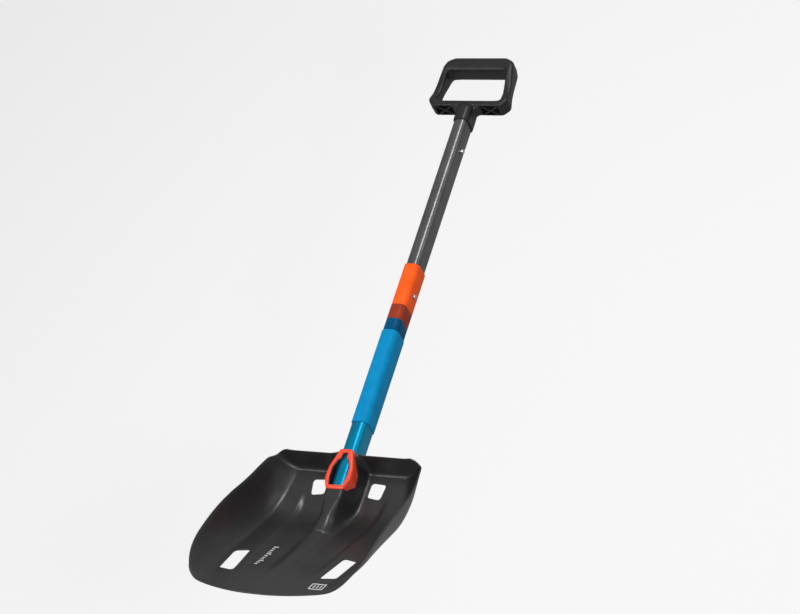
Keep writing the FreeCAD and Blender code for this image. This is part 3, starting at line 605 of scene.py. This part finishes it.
def inside(points, outline):
    """Which points lie inside a closed outline."""
    x, y = points[:, 0], points[:, 1]
    hit = np.zeros(len(points), bool)
    for (ax, ay), (bx, by) in zip(outline, outline[1:] + outline[:1]):
        if ay == by:
            continue
        crosses = (ay > y) != (by > y)
        hit ^= crosses & (x < (bx - ax) * (y - ay) / (by - ay) + ax)
    return hit


UPPER_SLOT = [(34.0, 26.5), (56.5, 28.0), (52.9, 53.0), (32.9, 50.0)]
LOWER_SLOT = [(69.8, 185.0), (91.0, 190.0), (86.6, 234.0), (63.2, 238.0)]
BEZEL_RIGHT = [(10.0, -3.0), (18.8, 27.0), (19.5, 45.0), (13.5, 61.0)]
WINDOW_FRONT = 58.8
SLOT_CORNER = 4.5


def mirrored(corners):
    """The same corners on the other side, in the same turning direction."""
    return [(-x, ahead) for x, ahead in reversed(corners)]


def window_outline():
    """The hole for the bezel's skirt, open at the rear edge."""
    right = [(10.9, -4.0), (19.1, 27.0), (19.8, 45.0), (14.8, WINDOW_FRONT)]
    return right + mirrored(right)


def scoop_stations():
    """Rows of points that follow the scoop's creases, so that no triangle crosses one."""
    spots = []
    ahead_rows = list(np.arange(0.9, 24, 1.1)) + list(np.arange(24, LENGTH, 2.1))
    for ahead in ahead_rows:
        foot, edge, step = float(rib_foot(ahead)), float(panel_edge(ahead)), float(panel_step(ahead))
        rim = float(rim_line(ahead))
        # start, end and number of points of each stretch
        stops = [
            (0.0, RIB_CREST, 4),
            (RIB_CREST, foot, 12),
            (foot, edge - step, 9),
            (edge - step, edge, 5),
            (edge, rim - WALL_RUN, 9),
            (rim - WALL_RUN, rim + 2.0, 16),
        ]
        across = [start + (end - start) * n / count for start, end, count in stops for n in range(count)]
        spots += [(x, ahead) for x in across] + [(-x, ahead) for x in across if x > 0]
    return np.array(spots)


def gap_to(points, outline):
    """Distance from each point to a closed outline."""
    nearest = np.full(len(points), 1e9)
    for start, end in zip(outline, outline[1:] + outline[:1]):
        start, end = np.array(start), np.array(end)
        along = end - start
        t = np.clip(((points - start) @ along) / max(along @ along, 1e-12), 0, 1)
        nearest = np.minimum(nearest, np.linalg.norm(points - (start + t[:, None] * along), axis=1))
    return nearest


def build_scoop():
    """Mesh the plan between its outline and holes, lift it to the surface and give it thickness."""
    outline = scoop_outline()
    slots = []
    for slot in (UPPER_SLOT, LOWER_SLOT):
        slots += [rounded_polygon(side, SLOT_CORNER) for side in (slot, mirrored(slot))]
    window = window_outline()
    spots = scoop_stations()
    keep = inside(spots, outline) & (gap_to(spots, outline) > 0.8)
    for hole in slots + [window]:
        keep &= ~inside(spots, hole) & (gap_to(spots, hole) > 0.7)
    spots = spots[keep]
    # the window's sides, finely divided
    fine_window = []
    for start, end in zip(window, window[1:] + window[:1]):
        fine_window += line_to(start, end, 1.5)
    rings = [outline, fine_window] + slots
    points, edges = [], []
    for ring in rings:
        first = len(points)
        points += ring
        edges += [(first + n, first + (n + 1) % len(ring)) for n in range(len(ring))]
    points += [tuple(spot) for spot in spots]
    result = delaunay_2d_cdt([Vector(p) for p in points], edges, [], 0, 1e-4)
    flat = np.array([tuple(v) for v in result[0]])
    triangles = np.array([f for f in result[2] if len(f) == 3])
    centres = flat[triangles].mean(axis=1)
    keep = inside(centres, outline)
    for hole in slots + [window]:
        keep &= ~inside(centres, hole)
    triangles = triangles[keep]
    used = np.unique(triangles)
    number = np.full(len(flat), -1)
    number[used] = np.arange(len(used))
    flat, triangles = flat[used], number[triangles]
    x, ahead = flat[:, 0], flat[:, 1]
    normal = scoop_normal(x, ahead)
    top = np.stack([x, REAR_EDGE - ahead, scoop_height(x, ahead)], axis=1)
    # near the rim the sheet leans inwards, so that its outer face ends on the outline
    lean = np.clip(1 - gap_to(flat, outline) / RIM_LEAN, 0, 1)
    top[:, :2] += SHEET * normal[:, :2] * lean[:, None]
    bottom = top - SHEET * normal
    count = len(flat)
    faces = [tuple(t) for t in triangles] + [tuple(t[::-1] + count) for t in triangles]
    sides = {}
    for t in triangles:
        for a, b in ((t[0], t[1]), (t[1], t[2]), (t[2], t[0])):
            sides[(a, b)] = (b, a) not in sides
            if (b, a) in sides:
                sides[(b, a)] = sides[(a, b)] = False
    faces += [(a, b, b + count, a + count) for (a, b), edge in sides.items() if edge]
    scoop = new_piece("scoop_sheet", np.vstack([top, bottom]), faces, 45.0)
    bevel(scoop, EDGE_ROUNDING, 2, 55.0)
    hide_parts("blade")
    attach(scoop, "scoop")
    return scoop


def surface_strip(name, corners, cell=0.8, lift=0.16, sunk=0.3):
    """A thin raised strip that follows the scoop: corners are (x, ahead), two along each end."""
    (ax, aa), (bx, ba), (cx, ca), (dx, da) = corners
    across = max(int(math.dist((ax, aa), (bx, ba)) / cell), 1)
    along = max(int(math.dist((bx, ba), (cx, ca)) / cell), 1)
    u, v = np.meshgrid(np.linspace(0, 1, across + 1), np.linspace(0, 1, along + 1))
    x = (1 - v) * ((1 - u) * ax + u * bx) + v * ((1 - u) * dx + u * cx)
    ahead = (1 - v) * ((1 - u) * aa + u * ba) + v * ((1 - u) * da + u * ca)
    x, ahead = x.ravel(), ahead.ravel()
    base = np.stack([x, REAR_EDGE - ahead, scoop_height(x, ahead)], axis=1)
    up = scoop_normal(x, ahead)
    points = np.vstack([base - sunk * up, base + lift * up])
    count, row = len(x), across + 1
    faces = []
    for n in range(along):
        for m in range(across):
            a = n * row + m
            faces.append((a + count, a + 1 + count, a + row + 1 + count, a + row + count))
            faces.append((a, a + row, a + row + 1, a + 1))
    rim = list(range(row)) + [n * row + across for n in range(1, along + 1)]
    rim += [along * row + m for m in range(across - 1, -1, -1)]
    rim += [n * row for n in range(along - 1, 0, -1)]
    for a, b in zip(rim, rim[1:] + rim[:1]):
        faces.append((a, b, b + count, a + count))
    return new_piece(name, points, faces)


def join(name, pieces):
    """One object from several."""
    form = bmesh.new()
    for piece in pieces:
        form.from_mesh(piece.data)
        bpy.data.objects.remove(piece)
    mesh = bpy.data.meshes.new(name)
    form.to_mesh(mesh)
    form.free()
    joined = bpy.data.objects.new(name, mesh)
    bpy.context.collection.objects.link(joined)
    tidy_normals(joined)
    return joined


def build_marks(finishes):
    """Printed marks: plain ticks on the left panel, and three bars in a frame at the front."""
    scale_x, first_tick, pitch, tick = -45.0, 171.0, 4.5, 1.7
    ticks = []
    for n in range(11):
        ahead = first_tick + n * pitch
        reach = 7.4 if n % 4 == 0 else 4.6
        end = scale_x + reach
        ticks.append([(scale_x, ahead), (end, ahead), (end, ahead + tick), (scale_x, ahead + tick)])
    scale = join("depth_scale", [surface_strip("tick", corners) for corners in ticks])
    left, right, rear, front = 63.0, 84.0, 250.0, 263.5
    width, margin = 1.6, 3.6
    bars = [
        [(left, rear), (right, rear), (right, rear + width), (left, rear + width)],
        [(left, front - width), (right, front - width), (right, front), (left, front)],
        [(left, rear), (left + width, rear), (left + width, front), (left, front)],
        [(right - width, rear), (right, rear), (right, front), (right - width, front)],
    ]
    for x in (68.0, 72.8, 77.6):
        low, high = rear + margin, front - margin
        bars.append([(x, low), (x + width, low), (x + width, high), (x, high)])
    badge = join("bar_badge", [surface_strip("bar", corners) for corners in bars])
    for piece in (scale, badge):
        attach(piece, "scoop")
        finishes["mark"].on(piece)


# ---- the bezel ---------------------------------------------------------------------------

BEZEL_POINTS = 160
SKIRT = 1.8  # thickness of the skirt
PLATE = 2.6  # thickness of the plate over the rib
SOCKET_SKIN = 0.25 + 1.2 + 0.15  # sliding gap, socket wall and clearance round the lower tube


def resampled(outline, count):
    """A closed outline as evenly spaced points, starting where it does."""
    ring = np.array(outline + outline[:1], float)
    gaps = np.linalg.norm(np.diff(ring, axis=0), axis=1)
    along = np.concatenate([[0], np.cumsum(gaps)])
    wanted = np.arange(count) / count * along[-1]
    return np.stack([np.interp(wanted, along, ring[:, 0]), np.interp(wanted, along, ring[:, 1])], axis=1)


def inset(ring, by):
    """A ring of points moved inwards."""
    before, after = np.roll(ring, 1, axis=0), np.roll(ring, -1, axis=0)
    tangent = after - before
    tangent /= np.linalg.norm(tangent, axis=1, keepdims=True)
    inward = np.stack([-tangent[:, 1], tangent[:, 0]], axis=1)
    area = np.sum(ring[:, 0] * after[:, 1] - after[:, 0] * ring[:, 1])
    return ring + inward * by * math.copysign(1, area)


def from_rear(outline, count):
    """Evenly spaced points round an outline, from the middle of its rear side."""
    start = min(range(len(outline)), key=lambda n: abs(outline[n][0]) + outline[n][1])
    return resampled(outline[start:] + outline[:start], count)


def build_bezel(finishes):
    """Coral ring: a rounded plate over the rib and a skirt down to the socket."""
    top, bottom = BEZEL_HIGH[2], BEZEL_LOW[2]
    outer = rounded_polygon(BEZEL_RIGHT + mirrored(BEZEL_RIGHT), 4.5, 0.8)
    neck = [(3.6, 3.0), (4.6, 11.5), (8.4, 14.5)]
    opening_right = neck + [(13.0, 26.0), (13.2, 41.0), (10.6, 55.2)]
    opening = rounded_polygon(opening_right + mirrored(opening_right), 1.6, 0.6)
    outer, opening = from_rear(outer, BEZEL_POINTS), from_rear(opening, BEZEL_POINTS)

    def level(ring, z):
        return [(x, REAR_EDGE - ahead, z) for x, ahead in ring]

    loops = [
        level(inset(outer, SKIRT), bottom),
        level(outer, bottom),
        level(outer, (top + bottom) / 2),
        level(outer, top - 3.0),
        level(inset(outer, 0.25), top - 1.9),
        level(inset(outer, 0.9), top - 0.9),
        level(inset(outer, 1.9), top - 0.25),
        level(inset(outer, 3.0), top),
        level(inset(opening, -1.1), top),
        level(inset(opening, -0.5), top - 0.2),
        level(inset(opening, -0.1), top - 0.8),
        level(opening, top - 1.6),
        level(opening, top - 2.8),
        level(inset(outer, SKIRT), top - 3.2),
    ]
    points, faces = bridge(loops, closed=True)
    ring = new_piece("bezel_ring", points, faces, 50.0)
    sleeve_ring = rounded_rectangle(*grown(LOWER, SOCKET_SKIN))
    tunnel_ends = (REAR_EDGE + 10, REAR_EDGE - 75)
    under = top - PLATE
    rear_notch = block("rear_notch", (-30, REAR_EDGE + 1.5, -30), (30, REAR_EDGE + 12, under))
    front_notch = block("front_notch", (-30, REAR_EDGE - 75, -30), (30, REAR_EDGE - 58.5, under))
    cut(ring, prism(sleeve_ring, *tunnel_ends), rear_notch, front_notch)
    # A black wall under the opening's edge, outside the socket, that covers the coral skirt there. It is
    # partly the socket's own dark wall and partly painted shade in the gap under the plate.
    socket_wall_and_shade_rings = [
        level(inset(opening, -1.2), top - 2.9),
        level(inset(opening, -1.2), bottom + 6),
        level(inset(opening, -0.2), bottom + 6),
        level(inset(opening, -0.2), top - 2.9),
    ]
    points, faces = bridge(socket_wall_and_shade_rings, closed=True)
    socket_wall_and_shade = new_piece("bezel_socket_wall_and_shade", points, faces)
    cut(socket_wall_and_shade, prism(sleeve_ring, *tunnel_ends))
    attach(socket_wall_and_shade, "scoop")
    finishes["socket"].on(socket_wall_and_shade)
    finishes["bezel"].on(ring)
    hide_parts("window_bezel")
    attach(ring, "scoop")


# ---- the shaft ---------------------------------------------------------------------------


def build_shaft(finishes):
    """Both tubes with their button holes, and the films and the grip round the lower one."""
    inner_low = grown(LOWER, -TUBE_WALL)
    lower = sleeve("lower_tube_skin", LOWER_LOW[1], LOWER_HIGH[1], LOWER, inner_low)
    middle = [(a + b) / 2 for a, b in zip(*cad("extension_button"))]
    stowage = [(a + b) / 2 for a, b in zip(*cad("stowage_button"))]
    lock = [(a + b) / 2 for a, b in zip(*cad("blade_lock_button"))]
    cut(
        lower,
        plug("hole", (LOWER[0], middle[1], 0), (1, 0, 0), BUTTON_HOLE, 8),
        plug("hole", (0, lock[1], -LOWER[1]), (0, 0, 1), BUTTON_HOLE, 8),
    )
    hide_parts("lower_tube")
    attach(lower, "lower_shaft")
    finishes["lower"].on(lower)

    upper = sleeve("upper_tube_skin", UPPER_LOW[1], UPPER_HIGH[1], UPPER, grown(UPPER, -TUBE_WALL))
    cut(
        upper,
        plug("hole", (UPPER[0], middle[1], 0), (1, 0, 0), BUTTON_HOLE, 8),
        plug("hole", (UPPER[0], stowage[1], 0), (1, 0, 0), BUTTON_HOLE, 8),
    )
    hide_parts("upper_tube")
    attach(upper, "upper_shaft")
    finishes["upper"].on(upper)

    for node, name, slot, finish, edge in (
        ("collar_sleeve", "orange_sleeve_skin", "orange_film", "film_orange", 0.25),
        ("red_band", "red_band_skin", "red_film", "film_red", 0.12),
        ("blue_band", "blue_band_skin", "blue_film", "film_blue", 0.12),
        ("grip_sleeve", "grip_skin", "grip", "grip", 0.6),
    ):
        low, high = cad(node)
        thick = high[0] - LOWER[0]
        band = sleeve(name, low[1], high[1], grown(LOWER, thick), grown(LOWER, 0.02), edge)
        if node == "collar_sleeve":
            cut(band, plug("hole", (LOWER[0], middle[1], 0), (1, 0, 0), BUTTON_HOLE + 0.4, 8))
        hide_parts(node)
        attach(band, "lower_shaft")
        finishes[finish].on(band)


def button_profile(reach):
    """Flange, neck and domed head of a snap button, from its inner face outwards."""
    radius, flange, rise = BUTTON_RADIUS, 5.0, 1.9
    dome = [
        (radius * math.cos(t), reach - rise + rise * math.sin(t))
        for t in np.radians([0, 18, 36, 54, 70, 82])
    ]
    foot = [(0, 0), (flange - 0.2, 0), (flange, 0.2), (flange, 0.9), (flange - 0.1, 1.0), (radius, 1.0)]
    return foot + dome + [(0, reach)]


def build_buttons(finishes):
    for node, name, body, direction in (
        ("extension_button", "extension_snap", "extension_stud", (1, 0, 0)),
        ("stowage_button", "stowage_snap", "stowage_stud", (1, 0, 0)),
        ("blade_lock_button", "blade_lock_snap", "lock_button", (0, 0, -1)),
    ):
        low, high = cad(node)
        centre = (low + high) / 2
        along = 0 if direction[0] else 2
        centre[along] = low[0] if direction[0] else high[2]
        reach = high[along] - low[along]
        snap = lathe(name, button_profile(reach), tuple(centre), direction)
        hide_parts(node)
        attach(snap, body)
        finishes["steel"].on(snap)


# ---- the handle --------------------------------------------------------------------------

GRIP_BAR = 25.5
SIDE_BAR = 12.0
FOOT_BAR = 11.0
FOOT_TO_TOP = 95.5
FOOT_DEPTH = 12.9  # half depths of the bottom, side and grip bars
SIDE_DEPTH = 9.0
GRIP_DEPTH = 15.4
COLLAR = grown(UPPER, 2.1)
PIN_RADIUS = 2.05
FUSE_CELL = 0.75


def handle_rings(count=220):
    """The D's outer outline and its hand opening, from the middle of the bottom bar."""
    foot, top = HANDLE_TOP - FOOT_TO_TOP, HANDLE_TOP
    wide, narrow = HANDLE_HIGH[0] - 0.1, HANDLE_HIGH[0] - 7.0
    shoulder = [(narrow, top - 18.0), (narrow - 4.5, top - 6.0), (narrow - 16.0, top)]
    right = [(wide - 9.0, foot), (wide, foot + 11.0)] + shoulder
    outer = rounded_polygon(right + mirrored(right), 6.5, 0.8)
    inner_right = [(wide - SIDE_BAR, foot + FOOT_BAR), (narrow - SIDE_BAR + 1.5, top - GRIP_BAR)]
    inner = rounded_polygon(inner_right + mirrored(inner_right), 5.0, 0.8)
    rings = []
    for ring in (outer, inner):
        ring = [(x, y - foot) for x, y in ring]
        rings.append(from_rear(ring, count) + (0.0, foot))
    return rings


def handle_depth(y):
    """Half depth of the D at y: bottom bar, slimmer side bars, deep grip bar."""
    foot, head = HANDLE_TOP - FOOT_TO_TOP, HANDLE_TOP - GRIP_BAR
    low = FOOT_DEPTH + (SIDE_DEPTH - FOOT_DEPTH) * eased((y - foot - 12) / 18, SOFT)
    return low + (GRIP_DEPTH - SIDE_DEPTH) * eased((y - head + 36) / 44, 0.3)


def build_handle_loop():
    """Sweep a rounded section round the D: full on the grip bar, squarer on the other bars."""
    outer, inner = handle_rings()
    sides = 36
    loops = []
    for (ox, oy), (ix, iy) in zip(outer, inner):
        depth = float(handle_depth((oy + iy) / 2))
        round_share = float(eased((oy - HANDLE_TOP + GRIP_BAR + 20) / 24))
        power = 7.0 - 2.6 * round_share
        ring = []
        for n in range(sides):
            angle = 2 * math.pi * n / sides
            c, d = math.cos(angle), math.sin(angle)
            reach = (abs(c) ** power + abs(d) ** power) ** (-1 / power)
            share = 0.5 + 0.5 * c * reach
            ring.append((ix + (ox - ix) * share, iy + (oy - iy) * share, depth * d * reach))
        loops.append(ring)
    points, faces = bridge(loops, closed=True)
    return new_piece("handle_body", points, faces, 60.0)


def build_collar():
    """Collar on the tube that runs down into the bottom bar."""
    bar_foot = HANDLE_TOP - FOOT_TO_TOP
    half_x, half_z, corner = COLLAR
    loops = []
    for y, z in (
        (HANDLE_LOW[1], half_z),
        (HANDLE_LOW[1] + 12, half_z),
        (bar_foot - 10, half_z),
        (bar_foot - 5, half_z - 0.3),
        (bar_foot, half_z - 2.4),
        (bar_foot + 5, 13.6),
        (bar_foot + 9.6, 12.2),
    ):
        loops.append(ring_along(y, (half_x, z, min(corner, z - 1))))
    points, faces = bridge(loops)
    sides = len(loops[0])
    faces += [tuple(range(sides)), tuple(range(len(points) - sides, len(points)))]
    return new_piece("collar", points, faces, 60.0)


def build_webs():
    """Curved webs from the collar's sides to the bottom bar."""
    bar_foot = HANDLE_TOP - FOOT_TO_TOP
    radius, half = 12.5, 9.3
    arc = [
        (COLLAR[0] - 0.6 + radius * (1 - math.cos(t)), bar_foot - radius + radius * math.sin(t))
        for t in np.radians(np.linspace(0, 88, 12))
    ]
    right = arc + [(24.0, bar_foot + 3.0)]
    outline = right + [(-x, y) for x, y in reversed(right)]
    count = len(outline)
    points = [(x, y, z) for z in (-half, half) for x, y in outline]
    faces = [(n, (n + 1) % count, count + (n + 1) % count, count + n) for n in range(count)]
    faces += [tuple(range(count)), tuple(range(count, 2 * count))]
    return new_piece("webs", points, faces)


def rib_triangles(near, far, half):
    """Four triangular pockets that leave an X of ribs between them."""
    rib = 1.3
    middle = (near + far) / 2
    return [
        [(near + 2 * rib, half), (far - 2 * rib, half), (middle, rib)],
        [(near + 2 * rib, -half), (middle, -rib), (far - 2 * rib, -half)],
        [(near, half - rib), (middle - 2 * rib, 0.0), (near, rib - half)],
        [(far, half - rib), (far, rib - half), (middle + 2 * rib, 0.0)],
    ]


def build_handle():
    """D-grip with a collar that flows into its bottom bar and ribbed pockets beneath."""
    handle = build_handle_loop()
    cut(handle, build_collar(), build_webs(), operation="UNION")
    step = handle.modifiers.new("fuse", "REMESH")
    step.mode = "VOXEL"
    step.voxel_size = FUSE_CELL * MM
    soften = handle.modifiers.new("soften", "SMOOTH")
    soften.factor, soften.iterations = 0.5, 9
    bake_modifiers(handle)
    bar_foot = HANDLE_TOP - FOOT_TO_TOP
    tools = []
    for triangle in rib_triangles(23.0, 52.0, FOOT_DEPTH - 2.0):
        tools.append(prism(triangle, bar_foot - 5, bar_foot + 6))
        tools.append(prism([(-x, z) for x, z in triangle], bar_foot - 5, bar_foot + 6))
    bore = prism(rounded_rectangle(*grown(UPPER, 0.1)), HANDLE_LOW[1] - 3, UPPER_HIGH[1] + 0.1)
    pin = plug("pin_hole", (0, float(PIN_Y), 0), (1, 0, 0), PIN_RADIUS, 60)
    cut(handle, *tools, bore, pin)
    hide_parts("handle")
    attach(handle, "upper_shaft")
    return handle


def main():
    finishes = make_finishes()
    scoop = build_scoop()
    finishes["blade"].on(scoop)
    build_marks(finishes)
    build_bezel(finishes)
    build_shaft(finishes)
    build_buttons(finishes)
    finishes["handle"].on(build_handle())
    for node, finish in (
        ("shaft_socket", "socket"),
        ("bezel_screw_left", "screw"),
        ("bezel_screw_right", "screw"),
        ("handle_pin", "screw"),
        ("tube_end_plug", "handle"),
        ("blade_lock_spring", "spring"),
        ("extension_spring", "spring"),
        ("stowage_spring", "spring"),
    ):
        finishes[finish].on(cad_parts[node])


main()


# ---- floor, light and camera -------------------------------------------------------------


def build_floor():
    """Pale floor far below, which throws no light back on the shovel."""
    mesh = bpy.data.meshes.new("floor")
    size, drop = 12.0, -1.4
    corners = [(-size, -size, drop), (size, -size, drop), (size, size, drop), (-size, size, drop)]
    mesh.from_pydata(corners, [], [(0, 1, 2, 3)])
    floor = bpy.data.objects.new("floor", mesh)
    bpy.context.collection.objects.link(floor)
    paint = Finish("floor_paint", linear(238, 238, 238), 0.0, 0.9)
    paint.on(floor)
    floor.visible_diffuse = False
    floor.visible_glossy = False


def add_light(name, spot, aim, size, power):
    """A rectangular light at a spot, aimed at a point: metres and watts."""
    light = bpy.data.lights.new(name, "AREA")
    light.shape = "RECTANGLE"
    light.size, light.size_y = size
    light.energy = power
    lamp = bpy.data.objects.new(name, light)
    bpy.context.collection.objects.link(lamp)
    lamp.location = spot
    lamp.rotation_mode = "QUATERNION"
    lamp.rotation_quaternion = (Vector(aim) - Vector(spot)).to_track_quat("-Z", "Y")


def build_light():
    world = bpy.data.worlds.new("studio")
    world.use_nodes = True
    world.node_tree.nodes["Background"].inputs["Color"].default_value = (1, 1, 1, 1)
    world.node_tree.nodes["Background"].inputs["Strength"].default_value = 0.36
    bpy.context.scene.world = world
    sun = bpy.data.lights.new("soft_sun", "SUN")
    sun.energy, sun.angle = 1.5, math.radians(70)
    lamp = bpy.data.objects.new("soft_sun", sun)
    bpy.context.collection.objects.link(lamp)
    lamp.rotation_mode = "QUATERNION"
    lamp.rotation_quaternion = Vector((-0.2, 0.42, -0.88)).to_track_quat("-Z", "Y")
    add_light("tube_strip", (0.3, 2.2, 3.0), (0, 0, 0), (0.6, 1.3), 44)
    add_light("side_strip", (2.6, 1.9, 1.45), (0, 0.1, 0), (0.12, 1.3), 5)
    add_light("front_fill", (-1.3, -2.6, 1.3), (0, -0.3, 0), (1.2, 0.7), 12)
    add_light("corner_spark", (1.5, -1.3, 2.0), (0, -0.3, 0), (0.25, 0.25), 9)
    add_light("crease_spark", (-1.1, -0.9, 2.4), (0, -0.3, 0), (0.3, 0.3), 9)


def build_camera():
    """Long lens from the right, over the scoop, rolled so that the handle stands to the right."""
    camera = bpy.data.cameras.new("camera")
    camera.lens, camera.sensor_width = 106.3, 36.0
    shot = bpy.data.objects.new("camera", camera)
    bpy.context.collection.objects.link(shot)
    back = Vector((0.4166, -0.5058, 0.7554)).normalized()
    up = Vector((-0.0443, 0.8186, 0.5726))
    up = (up - back * up.dot(back)).normalized()
    turn = Matrix((up.cross(back), up, back)).transposed()
    shot.rotation_mode = "QUATERNION"
    shot.rotation_quaternion = turn.to_quaternion()
    shot.location = (1.4190, -1.6862, 2.6070)
    bpy.context.scene.camera = shot


build_floor()
build_light()
build_camera()
bpy.context.scene.view_settings.view_transform = "Standard"
